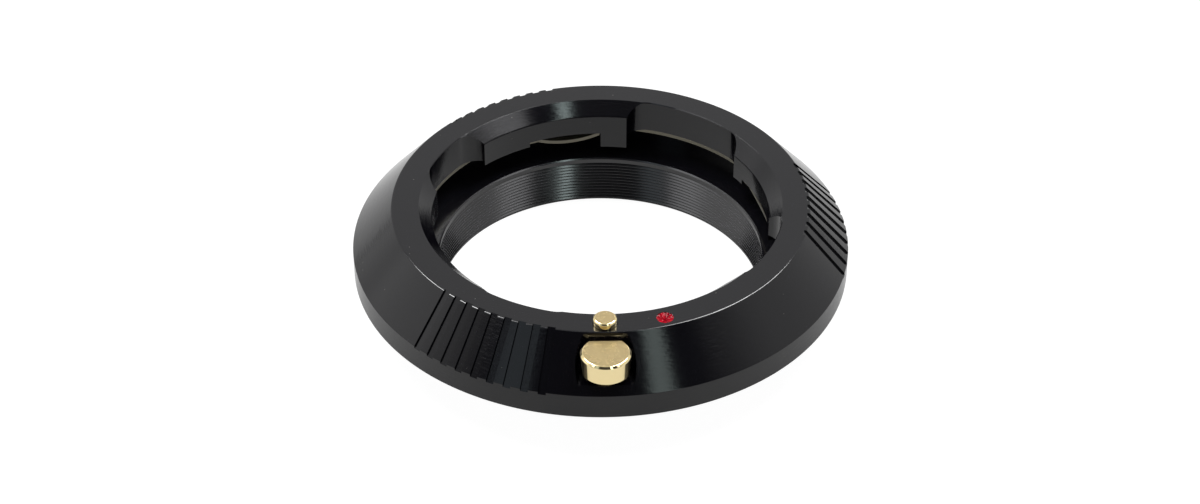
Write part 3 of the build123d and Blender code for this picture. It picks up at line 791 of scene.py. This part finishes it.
def ramp(value, start, end):
    """A smooth step from 0 at the start to 1 at the end."""
    inputs = {"Value": value, "From Min": start, "From Max": end}
    return add_node(sky, "ShaderNodeMapRange", inputs, interpolation_type="SMOOTHSTEP").outputs[0]


def span(value, low, high, low_edge, high_edge):
    """A mask that is 1 between two angles in degrees, with soft edges of these widths outside them."""
    low, high, low_edge, high_edge = np.radians([low, high, low_edge, high_edge]).tolist()
    fall = calc(sky, "SUBTRACT", 1.0, ramp(value, high, high + high_edge))
    return calc(sky, "MULTIPLY", ramp(value, low - low_edge, low), fall)


def window(bearing, bearings, heights):
    """A mask over the sky: the span of bearings times the span of heights."""
    return calc(sky, "MULTIPLY", span(bearing, *bearings), span(sky_height, *heights))


# Each window's bearings and heights: low, high, and the widths of the two soft edges
opening = window(sky_bearing, (-50, 42, 34, 46), (14, 50, 8, 32))
right_lamp = window(sky_bearing, (25, 31, 4.5, 4.5), (16, 48, 6, 5))
right_lamp_top = window(sky_bearing, (26, 31, 3, 3), (51, 60, 3, 8))
left_lamp = window(sky_bearing, (-50, -38, 5, 5), (16, 60, 6, 8))
side_panels = window(side_bearing, (60, 100, 6, 14), (42, 58, 4, 8))
left_panel = window(sky_bearing, (-112, -88, 12, 8), (12, 40, 8, 8))
right_overhead = window(sky_bearing, (86, 122, 6, 6), (54, 76, 4, 4))
left_overhead = window(sky_bearing, (-126, -98, 6, 6), (50, 66, 4, 4))
rear_overhead = window(side_bearing, (114, 134, 8, 6), (42, 56, 4, 4))
overhead = calc(sky, "MAXIMUM", rear_overhead, calc(sky, "MAXIMUM", right_overhead, left_overhead))
tent_white, opening_grey, black = (0.8, 0.8, 0.8), (0.05, 0.05, 0.055), (0.0, 0.0, 0.0)
lights = [
    (right_lamp, (2.0, 2.35, 2.25)),
    (right_lamp_top, (5.5, 6.6, 6.5)),
    (left_lamp, (0.5, 0.58, 0.62)),
    (side_panels, (1.9, 1.9, 1.95)),
    (left_panel, (0.35, 0.35, 0.35)),
    (overhead, (24.0, 24.0, 24.0)),
]
reflected = tint(sky, opening, tent_white, opening_grey)
for mask, colour in lights:
    reflected = mixed(sky, 1.0, reflected, tint(sky, mask, black, colour), blend="ADD")
even_light = 0.3
sky_seen, sky_mirrored = ray_kinds(sky)
unseen = mixed(sky, sky_mirrored, (even_light, even_light, even_light, 1), reflected)
background = add_node(sky, "ShaderNodeBackground", {"Color": mixed(sky, sky_seen, unseen, (1, 1, 1, 1))})
add_node(sky, "ShaderNodeOutputWorld", {"Surface": background.outputs[0]})


def soft_box(name, bearing, elevation, distance, width, height, radiance):
    """A rectangular lamp aimed at the ring. Its power is pi times its area times its radiance."""
    lamp = bpy.data.lights.new(name, "AREA")
    lamp.shape, lamp.size, lamp.size_y = "RECTANGLE", width * MM, height * MM
    lamp.energy = np.pi * width * height * MM ** 2 * radiance
    box = bpy.data.objects.new(name, lamp)
    up = np.radians(elevation)
    box.location = at_bearing(distance * np.cos(up), bearing, distance * np.sin(up)) * MM
    box.rotation_euler = (-box.location).to_track_quat("-Z", "Y").to_euler()
    bpy.context.scene.collection.objects.link(box)


for name, bearing in (("soft_box_left", -122), ("soft_box_right", 122)):
    soft_box(name, bearing, elevation=62, distance=600, width=340, height=240, radiance=6.0)

# Camera: place, tilt and focal length are those that put the ring's circles where the photograph has them.
photo_width, photo_focal = 1200, 2620.77
camera_data = bpy.data.cameras.new("camera")
camera_data.sensor_width = 36.0
camera_data.lens = camera_data.sensor_width * photo_focal / photo_width
camera = bpy.data.objects.new("camera", camera_data)
camera.location = Vector((-5.498, -258.84, 202.375)) * MM
camera.rotation_euler = np.radians((52.8715, 0.0, -1.2))
bpy.context.scene.collection.objects.link(camera)
bpy.context.scene.camera = camera
bpy.context.scene.view_settings.view_transform = "Standard"
